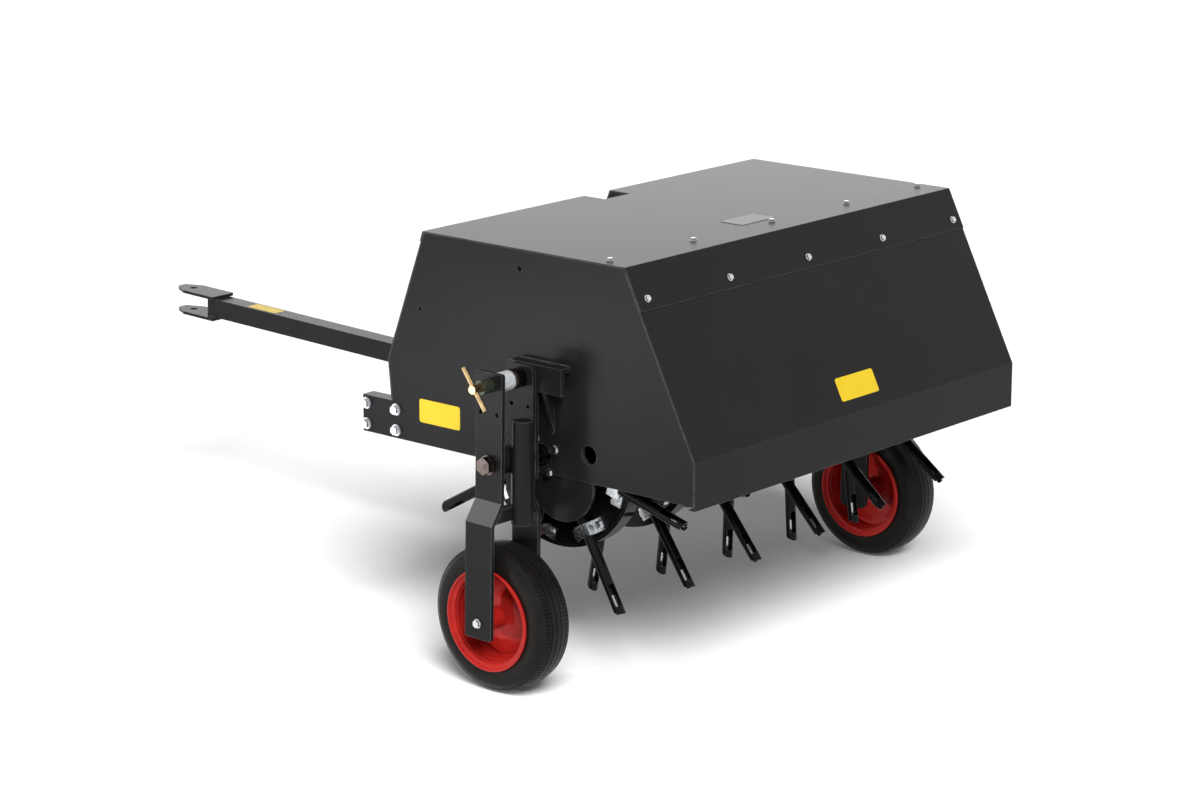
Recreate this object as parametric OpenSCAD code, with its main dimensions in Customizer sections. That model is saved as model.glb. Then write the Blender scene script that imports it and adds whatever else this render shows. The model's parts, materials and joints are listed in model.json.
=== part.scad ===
// Tow behind aerator: a hooded tine reel carried by two swinging wheel arms, with a folding drawbar.
// Millimetres. +X is the machine's right side, +Y is forward, +Z is up, and the ground is z = 0.

/* [Hood] */
// Width over the side plates
hood_w = 1200; // [1000:10:1400]
// Height of the hood's top above the ground
hood_h = 985; // [960:5:1040]
// Distance of the top's front edge behind the middle of the machine
hood_back = 340; // [300:1:380]
// Length of the flat top
top_len = 598; // [590:1:660]
// How far the rear slope runs back
rear_run = 200; // [185:1:230]
// How far the rear slope drops
rear_drop = 400; // [370:1:420]
// Height of the upright lip at the rear
lip_h = 107; // [80:1:125]
// How far the front slope runs forward
front_run = 118; // [100:1:130]
// How far the front slope drops
front_drop = 312; // [280:1:330]
// Height of the front panel under its knee
front_face_h = 95; // [70:1:110]
// How far the front panel's foot lies behind its knee
front_tuck = 9; // [0:1:20]
// Height of the side plates
side_h = 498; // [480:1:510]
// Thickness of the side plates
side_t = 5; // [4:0.5:8]
// Thickness of the folded sheet
sheet_t = 3; // [2:0.5:4]
// Width of the notch for the folded drawbar
notch_w = 92; // [80:1:120]
// Depth of the notch from the top's front edge
notch_d = 65; // [62:1:80]
// Length of the cover's flange down the rear slope
cover_flange = 102; // [95:1:130]
// Length of the cover's flange down the front slope
front_flange = 25; // [15:1:40]
// Thickness of the rail under the rear corner
rail_t = 4; // [3:0.5:6]
// Distance of the top bolts from the rear corner
top_bolt_back = 70; // [55:1:85]
// Distance of the slope bolts from the rear corner
slope_bolt_down = 77; // [60:1:85]
// Distance of the outer cover bolts from the sides
cover_bolt_inset = 33; // [25:1:60]
// Bolts in each cover row
cover_bolt_count = 5; // [3:1:9]
// Diameter of the cover bolts
cover_bolt_d = 8; // [6:1:10]
// Diameter of the large hole in each side plate
side_hole_d = 44; // [30:1:50]
// Diameter of the hole near the front edge of each side plate
small_hole_d = 10; // [6:1:14]
// Diameter of the hole near the top edge of each side plate
top_hole_d = 14; // [8:1:18]
// Length of the blank data plate
data_plate_l = 120; // [60:1:130]
// Width of the blank data plate
data_plate_w = 64; // [30:1:70]
// Thickness of the blank data plate
data_plate_t = 1; // [0.5:0.1:2]

/* [Front beam] */
// Depth of the cross beam, front to back
beam_depth = 30; // [25:1:34]
// Height of the cross beam
beam_h = 60; // [50:1:62]
// Wall of the cross beam
beam_wall = 4; // [3:0.5:6]
// Height of the tabs on the side plates
tab_h = 88; // [84:1:90]
// Length of the tabs ahead of the front knee
tab_len = 79; // [72:1:95]
// Thickness of the beam brackets
bracket_t = 6; // [4:0.5:8]
// Depth of the beam brackets' top flange
bracket_flange = 30; // [20:1:40]
// Bolt spacing on the tabs, along the machine
tab_bolt_gap_y = 95; // [80:1:96]
// Bolt spacing on the tabs, upright
tab_bolt_gap_z = 49; // [40:1:52]
// Diameter of the tab and bearing bolts
frame_bolt_d = 12; // [10:1:14]

/* [Drawbar] */
// Outer size of the square drawbar tube
bar_size = 50; // [40:1:52]
// Wall of the drawbar tube
bar_wall = 4; // [3:0.5:5]
// Distance from the fold pivot to the hitch hole
hitch_reach = 1269; // [1100:1:1400]
// Upward tilt of the drawbar, in degrees
bar_tilt = 1.7; // [0:0.1:3]
// Distance of the fold pivot ahead of the front beam
fold_lead = 85; // [75:1:100]
// Height of the fold pivot
fold_h = 477; // [474:1:482]
// Diameter of the fold pivot bolt
fold_bolt_d = 20; // [16:1:22]
// Thickness of the ears that hold the drawbar
ear_t = 10; // [8:1:14]
// Distance of the tube's end behind the hitch hole
bar_setback = 81; // [60:1:95]
// Width of the clevis plates
clevis_w = 75; // [60:1:80]
// Length of the clevis plates
clevis_l = 160; // [145:1:180]
// Thickness of the clevis plates
clevis_t = 8; // [6:1:10]
// Diameter of the hitch hole
hitch_d = 20; // [16:0.5:26]

/* [Reel] */
// Height of the reel's axis
reel_h = 527; // [522:1:530]
// Diameter of the rotor shaft
shaft_d = 40; // [30:1:44]
// Number of tine discs
disc_count = 6; // [4:1:7]
// Radius of the tine discs
disc_r = 222; // [210:1:235]
// Width of the disc's rim band
rim_w = 40; // [30:1:50]
// Thickness of the disc's web
web_t = 8; // [6:1:10]
// Thickness of the disc's rim band
rim_t = 6; // [4:0.5:8]
// Distance of the end discs from the side plates' outer faces
end_gap = 75; // [70:1:90]
// Tines on each disc
tine_count = 8; // [5:1:9]
// Radius of the tine tips
tip_r = 393; // [360:1:398]
// Radius of the tines' inner ends
tine_root_r = 100; // [95:1:140]
// Diameter of a tine
tine_d = 25; // [20:1:27]
// Bore of a tine
tine_bore = 17; // [12:1:18]
// Depth of a tine's bore
core_l = 90; // [70:1:110]
// Length of the window in a tine's side
window_l = 52; // [30:1:60]
// Angle of the first tine, from straight down to the rear
tine_phase = 29.6; // [0:0.1:44]
// Turn from one disc to the next
tine_stagger = 4.7; // [0:0.1:10]
// Radius at which the tine clamps sit
clamp_r = 190; // [180:1:196]
// Length of a tine clamp, across the tine
clamp_l = 94; // [90:1:100]
// Width of a tine clamp, along the tine
clamp_w = 30; // [24:1:34]
// Thickness of a tine clamp
clamp_t = 6; // [4:0.5:7]
// Diameter of the clamp bolts
clamp_bolt_d = 10; // [8:1:12]
// Radius of the rounded hanger plate under the bearing
hanger_r = 96; // [88:1:100]
// Thickness of the hanger plate
hanger_t = 7; // [5:1:8]
// Side of the bearing's square flange
bearing_size = 105; // [100:1:110]
// Thickness of the bearing's flange
bearing_t = 12; // [10:1:13]
// Bolt circle radius of the bearing
bearing_bolt_r = 41; // [40:1:52]

/* [Wheel arms] */
// Distance of the arm pivot ahead of the reel's axis
pivot_lead = 29.5; // [15:0.5:40]
// Height of the arm pivot
pivot_h = 529; // [524:1:534]
// Forward lean of the arm's foot, in degrees
arm_lean = 1.2; // [0:0.1:3]
// Width of the legs
leg_w = 77; // [70:1:90]
// Thickness of the legs
leg_t = 10; // [8:0.5:11]
// Gap between the legs at the pivot
leg_gap = 90; // [80:1:96]
// Gap between the legs at the wheel
foot_gap = 143; // [130:1:150]
// Top of the outer leg above the pivot
outer_leg_top = 209; // [205:1:240]
// Top of the inner leg above the pivot
inner_leg_top = 209; // [205:1:250]
// Drop from the pivot to the joggle
joggle_drop = 86; // [84:1:95]
// Height of the joggle
joggle_h = 46; // [40:1:52]
// Leg length below the axle
foot_l = 36; // [30:1:45]
// Diameter of the pivot stub
stub_d = 36; // [30:1:40]
// Diameter of the bolt in the end of the pivot stub
pivot_bolt_d = 20; // [14:1:22]
// Outer diameter of the pivot tube
pivot_tube_d = 60; // [52:1:60]
// Outer diameter of the lever socket
socket_d = 48; // [40:1:50]
// Wall of the lever socket
socket_wall = 4; // [3:0.5:6]
// Top of the lever socket above the pivot
socket_top = 102; // [90:1:105]
// Bottom of the lever socket below the pivot
socket_drop = 134; // [125:1:150]
// Height of the crown web between the legs
crown_h = 31; // [25:1:40]
// Thickness of the wheel bracket's plates
stand_t = 10; // [8:1:10]

/* [Lock plunger] */
// Height of the plunger above the arm pivot
lock_up = 180; // [174:1:188]
// Diameter of the lock pin
pin_d = 20; // [16:1:22]
// Diameter of the plunger body outside the leg
body_d = 33; // [30:1:36]
// Length of the plunger body
body_l = 29; // [24:1:34]
// Diameter of the sleeve between the legs
sleeve_d = 43; // [42:1:48]
// Length of the T-bar
tbar_l = 108; // [90:1:130]
// Diameter of the T-bar
tbar_d = 10; // [8:1:12]
// Tilt of the T-bar from upright, in degrees
tbar_tilt = 37; // [0:1:60]

/* [Wheels] */
// Radius of the tyre
wheel_r = 170; // [165:1:175]
// Width of the tyre
tyre_w = 100; // [90:1:106]
// Distance of the wheel's middle from the side plate
wheel_out = 93; // [90:1:98]
// Radius of the rim's flange
rim_r = 118; // [112:1:120]
// Depth of the rim's flange
flange_h = 15; // [12:1:18]
// Width between the rim's flanges
rim_gap = 96; // [80:1:98]
// Sheet thickness of the rim
rim_sheet = 4; // [3:0.5:5]
// Outer diameter of the wheel's hub
hub_d = 50; // [44:1:60]
// Diameter of the axle
axle_d = 20; // [16:1:24]
// Diameter of the axle bolts
axle_bolt_d = 10; // [8:1:14]
// Ribs round the tread
tread_ribs = 5; // [3:1:7]
// Depth of the tread grooves
groove_d = 3; // [1:0.5:5]

/* [Clearances] */
// Radial clearance of a running fit
run_gap = 0.05; // [0.02:0.01:0.1]
// Side clearance between parts that move past each other
side_gap = 0.5; // [0.3:0.1:1]
// Radial clearance of a bolt in its hole
bolt_gap = 0.25; // [0.1:0.05:0.5]
// Gap between sheets that lie together on a slope
seat_gap = 0.05; // [0.02:0.01:0.2]
// Gap between the tine tips and the front beam
tine_gap = 10.5; // [8:0.5:25]
// Gap between the front panels and the tabs
panel_gap = 3; // [2:0.5:8]

/* [Hidden] */
$fn = 64;

// Colours
black_paint = [0.11, 0.11, 0.12];
dark_steel = [0.06, 0.06, 0.07];
plate_grey = [0.35, 0.35, 0.36];
body_green = [0.10, 0.13, 0.10];
zinc = [0.72, 0.73, 0.75];
brass = [0.80, 0.60, 0.25];
bronze = [0.45, 0.36, 0.24];
rim_red = [0.80, 0.12, 0.05];
rubber = [0.05, 0.05, 0.05];

// Hood profile as [y, z] corners of the cover's outer face
hood_y = -hood_back;
side_x = hood_w / 2;
top_front = [hood_y, hood_h];
top_rear = [hood_y - top_len, hood_h];
rear_knee = top_rear - [rear_run, rear_drop];
lip_end = rear_knee - [0, lip_h];
front_knee = top_front + [front_run, -front_drop];
front_end = front_knee - [front_tuck, front_face_h];
side_z = hood_h - side_h;

// Vectors and bent sheets
function unit(v) = v / norm(v);
function left_of(v) = [-v[1], v[0]];
function mitre(pts, i, t) =
    let (
        last = len(pts) - 1,
        a = i == 0 ? unit(pts[1] - pts[0]) : unit(pts[i] - pts[i - 1]),
        b = i == last ? a : unit(pts[i + 1] - pts[i]),
        n = left_of(a) + left_of(b)
    )
    pts[i] + n * (2 * t / (n * n));
function inset(pts, t) = [for (i = [0 : len(pts) - 1]) mitre(pts, i, t)];
function bent_sheet(pts, t) = let (inner = inset(pts, t))
    concat(pts, [for (i = [len(pts) - 1 : -1 : 0]) inner[i]]);
function cross2(a, b) = a[0] * b[1] - a[1] * b[0];
function meet(p, u, q, v) = p + u * (cross2(q - p, v) / cross2(u, v));

rear_dir = unit(rear_knee - top_rear);
rear_out = -left_of(rear_dir);
front_dir = unit(front_knee - top_front);
front_slope = front_run / front_drop;

// The rear panel lies under the cover's flange, and the side plates lie under both
rear_face = inset([top_rear, rear_knee, lip_end], sheet_t + seat_gap);
rear_seat = inset([top_rear, rear_knee, lip_end], 2 * (sheet_t + seat_gap));
front_face = inset([front_end, front_knee, top_front], sheet_t + seat_gap);
front_seat = inset([front_end, front_knee, top_front], 2 * (sheet_t + seat_gap));
cover_under = hood_h - sheet_t;
level = [1, 0];
rear_corner = meet([0, cover_under], level, rear_seat[0], rear_dir);
front_corner = meet([0, cover_under], level, front_seat[1], front_dir);
panel_start = 14;
panel_hem = 16;
rail_top_leg = 100;
rail_slope_leg = 95;

cover_bolt_half = side_x - cover_bolt_inset;
function cover_bolt_x(i) = cover_bolt_half * (2 * i / (cover_bolt_count - 1) - 1);
top_bolt_y = top_rear[0] + top_bolt_back;
slope_bolt = top_rear + rear_dir * slope_bolt_down + rear_out * seat_gap;
slope_grip = 2 * sheet_t + rail_t + 4 * seat_gap;
slope_bolt_turn = atan2(rear_out[0], rear_out[1]);

// Side plate holes as [y, z], measured from the top front edge
side_hole = top_front + [-496, -435];
top_hole = top_front + [-293, -46];
front_hole = top_front + [11, -181];

// Tabs and beam hang under the front panels' foot
tab_front = front_knee[0] + tab_len;
tab_top = front_end[1] - panel_gap;
tab_z = tab_top - tab_h;
tab_bolt_y = [for (s = [0, 1]) tab_front - 12 - s * tab_bolt_gap_y];
tab_bolt_z = [for (s = [-1, 1]) tab_z + tab_h / 2 + s * tab_bolt_gap_z / 2];
beam_front = tab_bolt_y[1] - frame_bolt_d - 3;
beam_back = beam_front - beam_depth;
beam_z = tab_z + 13;
bracket_x = side_x - side_t;
bracket_back = beam_back - 6;

// Main axes
reel_y = beam_back - tine_gap - tip_r;
pivot_y = reel_y + pivot_lead;
fold_y = beam_front + fold_lead;

// Drawbar
ear_x = bar_size / 2 + side_gap;
rest_t = 8;
bar_front = hitch_reach - bar_setback;
clevis_nose = 47;
sleeve_wall = 5;

// Reel
disc_pitch = (hood_w - 2 * end_gap) / (disc_count - 1);
function disc_x(i) = -side_x + end_gap + i * disc_pitch;
function tine_angle(i, k) = tine_phase + i * tine_stagger + k * 360 / tine_count;
web_x = -rim_w / 2;
tine_x = web_x - tine_d / 2;
window_turn = -25;
window_tip = 20;
tip_bevel = 25;
hub_r = shaft_d / 2 + 10;
clamp_bolt_y = clamp_l / 2 - clamp_bolt_d * 1.25;
hanger_c = [reel_y - 50.5, side_z - 8];
bearing_x = side_x - side_t - hanger_t;
bearing_turn = 18;
bearing_boss_d = 2 * (bearing_bolt_r - frame_bolt_d);
shaft_half = side_x + 6;

// Wheel arms, right-hand side, measured from the arm pivot
wheel_x = side_x + wheel_out;
arm_l = (pivot_h - wheel_r) / cos(arm_lean);
gap_mid = side_x + wheel_out - 4.5;
inner_face = gap_mid - leg_gap / 2;
outer_face = gap_mid + leg_gap / 2;
inner_foot = wheel_x - foot_gap / 2;
outer_foot = wheel_x + foot_gap / 2;
foot_z = -arm_l - foot_l;
joggle_z = -joggle_drop - joggle_h;
leg_hole_y = 24;
leg_hole_z = 116;
leg_hole_d = 12;
socket_y = -(pivot_tube_d + socket_d) / 2 - 0.2;
crown_z = -socket_drop + 8;
stand_face = inner_face - leg_t - 1.5;
stub_end = outer_face + leg_t + side_gap;
lock_seat = [pivot_y - lock_up * sin(arm_lean), pivot_h + lock_up * cos(arm_lean)];
stand_top = pivot_h + inner_leg_top + 3;
stand_z = pivot_h - 49;
stand_front = pivot_y + leg_w / 2;
stand_back = pivot_y - leg_w / 2 - 76;
ear_h = 61;
gusset_drop = 98;
stub_bore_l = 60;
pivot_washer_t = 4;
pivot_head_h = 15;
pivot_shank_l = 40;
gusset_t = 8;
gusset_y = stand_back + 48;

// Lock plunger along X
pin_nose = stand_face + side_gap;
body_end = outer_face + leg_t + body_l;
tbar_x = body_end + 18;
chamber_x = inner_face + 12;
collar_x = chamber_x + 17;
spring_x = collar_x + 28;

// Basic solids
module span_x(x0, x1) { translate([x0, 0, 0]) rotate([90, 0, 90]) linear_extrude(x1 - x0) children(); }
module span_y(y0, y1) { translate([0, y1, 0]) rotate([90, 0, 0]) linear_extrude(y1 - y0) children(); }
module rod_x(d, x0, x1, y = 0, z = 0) {
    translate([x0, y, z]) rotate([0, 90, 0]) cylinder(d = d, h = x1 - x0);
}
module turn_x() { rotate([0, 90, 0]) rotate_extrude() children(); }
module block(a, b) { translate(a) cube(b - a); }
module on_side(s) { mirror([s < 0 ? 1 : 0, 0, 0]) children(); }
module both_sides() { for (s = [-1, 1]) on_side(s) children(); }

// Bolt with its head's seat at z = 0 and its shank along -z
module bolt(d, l) {
    cylinder(d = d * 2.1, h = d * 0.22);
    cylinder(d = d * 1.8, h = d * 0.8, $fn = 6);
    translate([0, 0, -l]) cylinder(d = d, h = l + 1);
}
module nut(d, grip) {
    translate([0, 0, -grip - d * 0.8]) difference() {
        cylinder(d = d * 1.8, h = d * 0.8, $fn = 6);
        translate([0, 0, -1]) cylinder(d = d + 2 * run_gap, h = d);
    }
}
module washer(d) {
    difference() {
        cylinder(d = d * 2.3, h = d * 0.18);
        translate([0, 0, -1]) cylinder(d = d + 2 * run_gap, h = d);
    }
}
module bolted(d, grip) {
    bolt(d, grip + d * 1.1);
    nut(d, grip);
}
module hole_x(d, y, z) { rod_x(d + 2 * bolt_gap, 0, 2 * hood_w, y, z); }

// Bolt places on the cover
module at_top_bolts() {
    for (i = [0 : cover_bolt_count - 1]) translate([cover_bolt_x(i), top_bolt_y, hood_h]) children();
}
module at_slope_bolts() {
    for (i = [0 : cover_bolt_count - 1])
        translate([cover_bolt_x(i), slope_bolt[0], slope_bolt[1]])
            rotate([-slope_bolt_turn, 0, 0]) children();
}
module cover_bolt_holes() {
    at_top_bolts() cylinder(d = cover_bolt_d + 2 * bolt_gap, h = 80, center = true);
    at_slope_bolts() cylinder(d = cover_bolt_d + 2 * bolt_gap, h = 80, center = true);
}

module top_cover() color(black_paint) difference() {
    span_x(-side_x, side_x) polygon(bent_sheet([top_front + front_dir * front_flange, top_front, top_rear,
        top_rear + rear_dir * cover_flange], sheet_t));
    block([-notch_w / 2, hood_y - notch_d, hood_h - 2 * front_flange],
        [notch_w / 2, hood_y + front_run, hood_h + 1]);
    cover_bolt_holes();
}

module rear_panel() color(black_paint) difference() {
    span_x(-side_x, side_x) polygon(bent_sheet([rear_face[0] + rear_dir * panel_start, rear_face[1],
        rear_face[2], rear_face[2] + level * panel_hem], sheet_t));
    cover_bolt_holes();
}

module front_panels() color(black_paint) both_sides() intersection() {
    span_x(notch_w / 2 + sheet_t, side_x) polygon(bent_sheet(front_face, sheet_t));
    block([0, hood_y - hood_h, 0], [side_x, hood_y + hood_h, cover_under]);
}

// The pocket's floor runs parallel to the front slope
function floor_y(z) = hood_y - notch_d + (hood_h - z) * front_slope;
module tongue_pocket() color(black_paint) difference() {
    span_x(-notch_w / 2 - sheet_t, notch_w / 2 + sheet_t) polygon([
        [front_face[0][0], front_end[1]], front_face[1],
        meet([0, cover_under], level, front_face[1], front_dir),
        [floor_y(cover_under) - sheet_t, cover_under], [floor_y(front_end[1]) - sheet_t, front_end[1]]]);
    span_x(-notch_w / 2, notch_w / 2) polygon([
        [floor_y(front_end[1] - 1), front_end[1] - 1], [floor_y(hood_h), hood_h],
        [front_knee[0] + notch_d, hood_h], [front_knee[0] + notch_d, front_end[1] - 1]]);
}

module side_plate() color(black_paint) difference() {
    span_x(side_x - side_t, side_x) {
        polygon([front_corner, rear_corner, rear_seat[1], [rear_seat[1][0], side_z],
            [front_seat[0][0], side_z], front_seat[0], front_seat[1]]);
        polygon([[bracket_back, tab_z], [tab_front, tab_z], [tab_front, tab_top], [front_seat[0][0], tab_top],
            front_seat[0], front_seat[1], [bracket_back, front_seat[1][1]]]);
    }
    rod_x(side_hole_d, 0, hood_w, side_hole[0], side_hole[1]);
    rod_x(top_hole_d, 0, hood_w, top_hole[0], top_hole[1]);
    rod_x(small_hole_d, 0, hood_w, front_hole[0], front_hole[1]);
    rod_x(shaft_d + 12, 0, hood_w, reel_y, reel_h);
    for (y = tab_bolt_y, z = tab_bolt_z) hole_x(frame_bolt_d, y, z);
    at_bearing_bolts() cylinder(d = frame_bolt_d + 2 * bolt_gap, h = 200, center = true);
}
module left_side_plate() on_side(-1) side_plate();
module right_side_plate() side_plate();

module rear_rail() color(black_paint) difference() {
    span_x(-side_x + side_t, side_x - side_t) polygon(bent_sheet([rear_corner + level * rail_top_leg,
        rear_corner, rear_corner + rear_dir * rail_slope_leg], rail_t));
    cover_bolt_holes();
}

module cover_bolts() color(zinc) {
    at_top_bolts() bolted(cover_bolt_d, sheet_t + rail_t);
    at_slope_bolts() bolted(cover_bolt_d, slope_grip);
}

module data_plate() color(plate_grey) translate([-19, top_bolt_y + 55, hood_h])
    translate([-data_plate_l / 2, -data_plate_w / 2, 0]) cube([data_plate_l, data_plate_w, data_plate_t]);

module front_beam() color(black_paint) difference() {
    span_x(bracket_t - bracket_x, bracket_x - bracket_t)
        translate([beam_back, beam_z]) square([beam_depth, beam_h]);
    span_x(-hood_w, hood_w) translate([beam_back + beam_wall, beam_z + beam_wall])
        square([beam_depth - 2 * beam_wall, beam_h - 2 * beam_wall]);
}

module beam_brackets() color(black_paint) both_sides() difference() {
    union() {
        block([bracket_x - bracket_t, bracket_back, tab_z], [bracket_x, tab_front, tab_top]);
        block([bracket_x - bracket_flange, front_end[0] + sheet_t, tab_top - bracket_t],
            [bracket_x, tab_front, tab_top]);
    }
    for (y = tab_bolt_y, z = tab_bolt_z) hole_x(frame_bolt_d, y, z);
}

module tab_bolts() color(zinc) both_sides() for (y = tab_bolt_y, z = tab_bolt_z)
    translate([side_x, y, z]) rotate([0, 90, 0]) {
        washer(frame_bolt_d);
        translate([0, 0, frame_bolt_d * 0.18]) bolt(frame_bolt_d, side_t + bracket_t + frame_bolt_d * 1.3);
        nut(frame_bolt_d, side_t + bracket_t);
    }

module tongue_ears() color(black_paint) both_sides() difference() {
    span_x(ear_x, ear_x + ear_t) hull() {
        polygon([[beam_front, beam_z], [beam_front + 40, beam_z + beam_h], [beam_front, beam_z + beam_h]]);
        polygon([[beam_front, fold_h - 42], [fold_y + 40, fold_h - 42], [fold_y + 40, fold_h + 12],
            [fold_y + 20, fold_h + 34]]);
    }
    rod_x(fold_bolt_d + 2 * run_gap, 0, hood_w, fold_y, fold_h);
}

module tongue_rest() color(black_paint)
    block([-ear_x, fold_y + 15, fold_h - bar_size / 2 - rest_t - 0.2],
        [ear_x, fold_y + 36, fold_h - bar_size / 2 - 0.2]);

module fold_bolt() color(zinc) translate([ear_x + ear_t, fold_y, fold_h]) rotate([0, 90, 0])
    bolted(fold_bolt_d, 2 * (ear_x + ear_t));

// Drawbar frame: the fold pivot at the origin, the bar along +Y
module on_bar() { translate([0, fold_y, fold_h]) rotate([bar_tilt, 0, 0]) children(); }
module bar_outline(size) {
    circle(d = size);
    translate([0, -size / 2]) square([bar_front, size]);
}
module drawbar_tube() color(black_paint) on_bar() difference() {
    span_x(-bar_size / 2, bar_size / 2) bar_outline(bar_size);
    span_x(bar_wall - bar_size / 2, bar_size / 2 - bar_wall) {
        bar_outline(bar_size - 2 * bar_wall);
        translate([bar_front - 1, bar_wall - bar_size / 2]) square([10, bar_size - 2 * bar_wall]);
    }
    rod_x(fold_bolt_d + 2 * sleeve_wall, -bar_size, bar_size);
}

module fold_sleeve() color(zinc) on_bar() difference() {
    rod_x(fold_bolt_d + 2 * sleeve_wall, -bar_size / 2, bar_size / 2);
    rod_x(fold_bolt_d + 2 * run_gap, -bar_size, bar_size);
}

module clevis_plate() color(black_paint) difference() {
    linear_extrude(clevis_t) polygon([for (p = [[clevis_nose - clevis_l, 1], [0, 1], [clevis_nose - 8, 0.5],
        [clevis_nose, 0.3], [clevis_nose, -0.3], [clevis_nose - 8, -0.5], [0, -1],
        [clevis_nose - clevis_l, -1]]) [p[1] * clevis_w / 2, hitch_reach + p[0]]]);
    translate([0, hitch_reach, -1]) cylinder(d = hitch_d, h = clevis_t + 2);
}
module upper_clevis_plate() on_bar() translate([0, 0, bar_size / 2]) clevis_plate();
module lower_clevis_plate() on_bar() translate([0, 0, -bar_size / 2 - clevis_t]) clevis_plate();

// Bearings, with bolt heads on the side plate's outer face
module at_bearing_bolts() {
    for (k = [0 : 3]) let (a = bearing_turn + 45 + 90 * k)
        translate([side_x, reel_y + bearing_bolt_r * cos(a), reel_h + bearing_bolt_r * sin(a)])
            rotate([0, 90, 0]) children();
}
module bearing_hangers() color(black_paint) both_sides() difference() {
    span_x(bearing_x, bearing_x + hanger_t) {
        translate(hanger_c) circle(hanger_r, $fn = 96);
        polygon([hanger_c + [-hanger_r, 0], hanger_c + [hanger_r, 0],
            [reel_y + bearing_size * 0.7, reel_h - bearing_size * 0.5],
            [reel_y + bearing_size * 0.7, reel_h + bearing_size],
            [hanger_c[0] - hanger_r, reel_h + bearing_size]]);
    }
    rod_x(shaft_d + 12, 0, hood_w, reel_y, reel_h);
    at_bearing_bolts() cylinder(d = frame_bolt_d + 2 * bolt_gap, h = 200, center = true);
    rod_x(side_hole_d, 0, hood_w, side_hole[0], side_hole[1]);
}
module flange_bearings() color(dark_steel) both_sides() difference() {
    union() {
        span_x(bearing_x - bearing_t, bearing_x) translate([reel_y, reel_h]) rotate(bearing_turn)
            square(bearing_size, center = true);
        rod_x(bearing_boss_d, bearing_x - bearing_t - 12, bearing_x, reel_y, reel_h);
    }
    rod_x(shaft_d + 2 * run_gap, 0, hood_w, reel_y, reel_h);
    at_bearing_bolts() cylinder(d = frame_bolt_d + 2 * bolt_gap, h = 200, center = true);
}
module bearing_bolts() color(zinc) both_sides() at_bearing_bolts()
    bolted(frame_bolt_d, side_t + hanger_t + bearing_t);

// Wheel bracket: a standing plate with top flange, front flange and rear gusset, and the arm's pivot stub
module wheel_bracket() color(black_paint) difference() {
    union() {
        block([stand_face - stand_t, pivot_y - leg_w / 2, stand_z], [stand_face, stand_front, stand_top]);
        block([stand_face - stand_t, stand_back, stand_top - ear_h], [stand_face, pivot_y, stand_top]);
        block([side_x, stand_back, stand_top - stand_t], [stand_face, stand_front, stand_top]);
        block([side_x, stand_front - gusset_t, stand_z], [stand_face, stand_front, stand_top]);
        span_y(gusset_y, gusset_y + gusset_t) polygon([[side_x, stand_top], [stand_face, stand_top],
            [stand_face, stand_top - ear_h], [side_x, stand_top - ear_h - gusset_drop]]);
        rod_x(stub_d, stand_face - stand_t, stub_end, pivot_y, pivot_h);
    }
    rod_x(pin_d + 1, 0, hood_w, lock_seat[0], lock_seat[1]);
    rod_x(pivot_bolt_d + 2 * run_gap, stub_end - stub_bore_l, hood_w, pivot_y, pivot_h);
}
module left_wheel_bracket() on_side(-1) wheel_bracket();
module right_wheel_bracket() wheel_bracket();

module pivot_bolts() color(bronze) both_sides() translate([stub_end, pivot_y, pivot_h]) rotate([0, 90, 0]) {
    difference() {
        cylinder(d = stub_d + 8, h = pivot_washer_t);
        translate([0, 0, -1]) cylinder(d = pivot_bolt_d + 2 * run_gap, h = pivot_washer_t + 2);
    }
    translate([0, 0, pivot_washer_t]) cylinder(d = pivot_bolt_d * 2.05, h = pivot_head_h, $fn = 6);
    translate([0, 0, -pivot_shank_l]) cylinder(d = pivot_bolt_d, h = pivot_shank_l + pivot_washer_t + 1);
}

// Reel
module at_discs() { for (i = [0 : disc_count - 1]) translate([disc_x(i), reel_y, reel_h]) children(); }
module at_tines() {
    for (i = [0 : disc_count - 1], k = [0 : tine_count - 1])
        translate([disc_x(i), reel_y, reel_h]) rotate([-tine_angle(i, k), 0, 0]) children();
}
module rotor_shaft() color(zinc) rod_x(shaft_d, -shaft_half, shaft_half, reel_y, reel_h);

module disc_hubs() color(dark_steel) at_discs() difference() {
    rod_x(2 * hub_r, web_x - 8, rim_w / 2);
    rod_x(shaft_d + 0.04, -rim_w, rim_w);
}

// Each disc is a flat web inside a rolled rim band
module tine_discs() color(dark_steel) for (i = [0 : disc_count - 1])
    translate([disc_x(i), reel_y, reel_h]) difference() {
        turn_x() translate([hub_r + 0.02, web_x]) square([disc_r - rim_t - hub_r - 0.04, web_t]);
        for (k = [0 : tine_count - 1], s = [-1, 1]) rotate([-tine_angle(i, k), 0, 0])
            rod_x(clamp_bolt_d + 2 * bolt_gap, -rim_w, rim_w, s * clamp_bolt_y, -clamp_r);
    }

module disc_rims() color(dark_steel) at_discs() turn_x()
    translate([disc_r - rim_t, web_x]) square([rim_t, rim_w]);

module tine() {
    difference() {
        translate([0, 0, -tip_r]) cylinder(d = tine_d, h = tip_r - tine_root_r);
        translate([0, 0, -tip_r - 1]) cylinder(d = tine_bore, h = core_l + 1);
        rotate([0, 0, window_turn]) translate([-tine_d * 0.32, -tine_d, window_tip - tip_r])
            cube([tine_d * 0.64, tine_d, window_l]);
        translate([0, -tine_d / 2, -tip_r]) rotate([tip_bevel, 0, 0])
            translate([-tine_d, -tine_d, -2 * tine_d]) cube([2 * tine_d, 3 * tine_d, 2 * tine_d]);
    }
}
module tines() color(dark_steel) at_tines() translate([tine_x, 0, 0]) tine();

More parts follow.
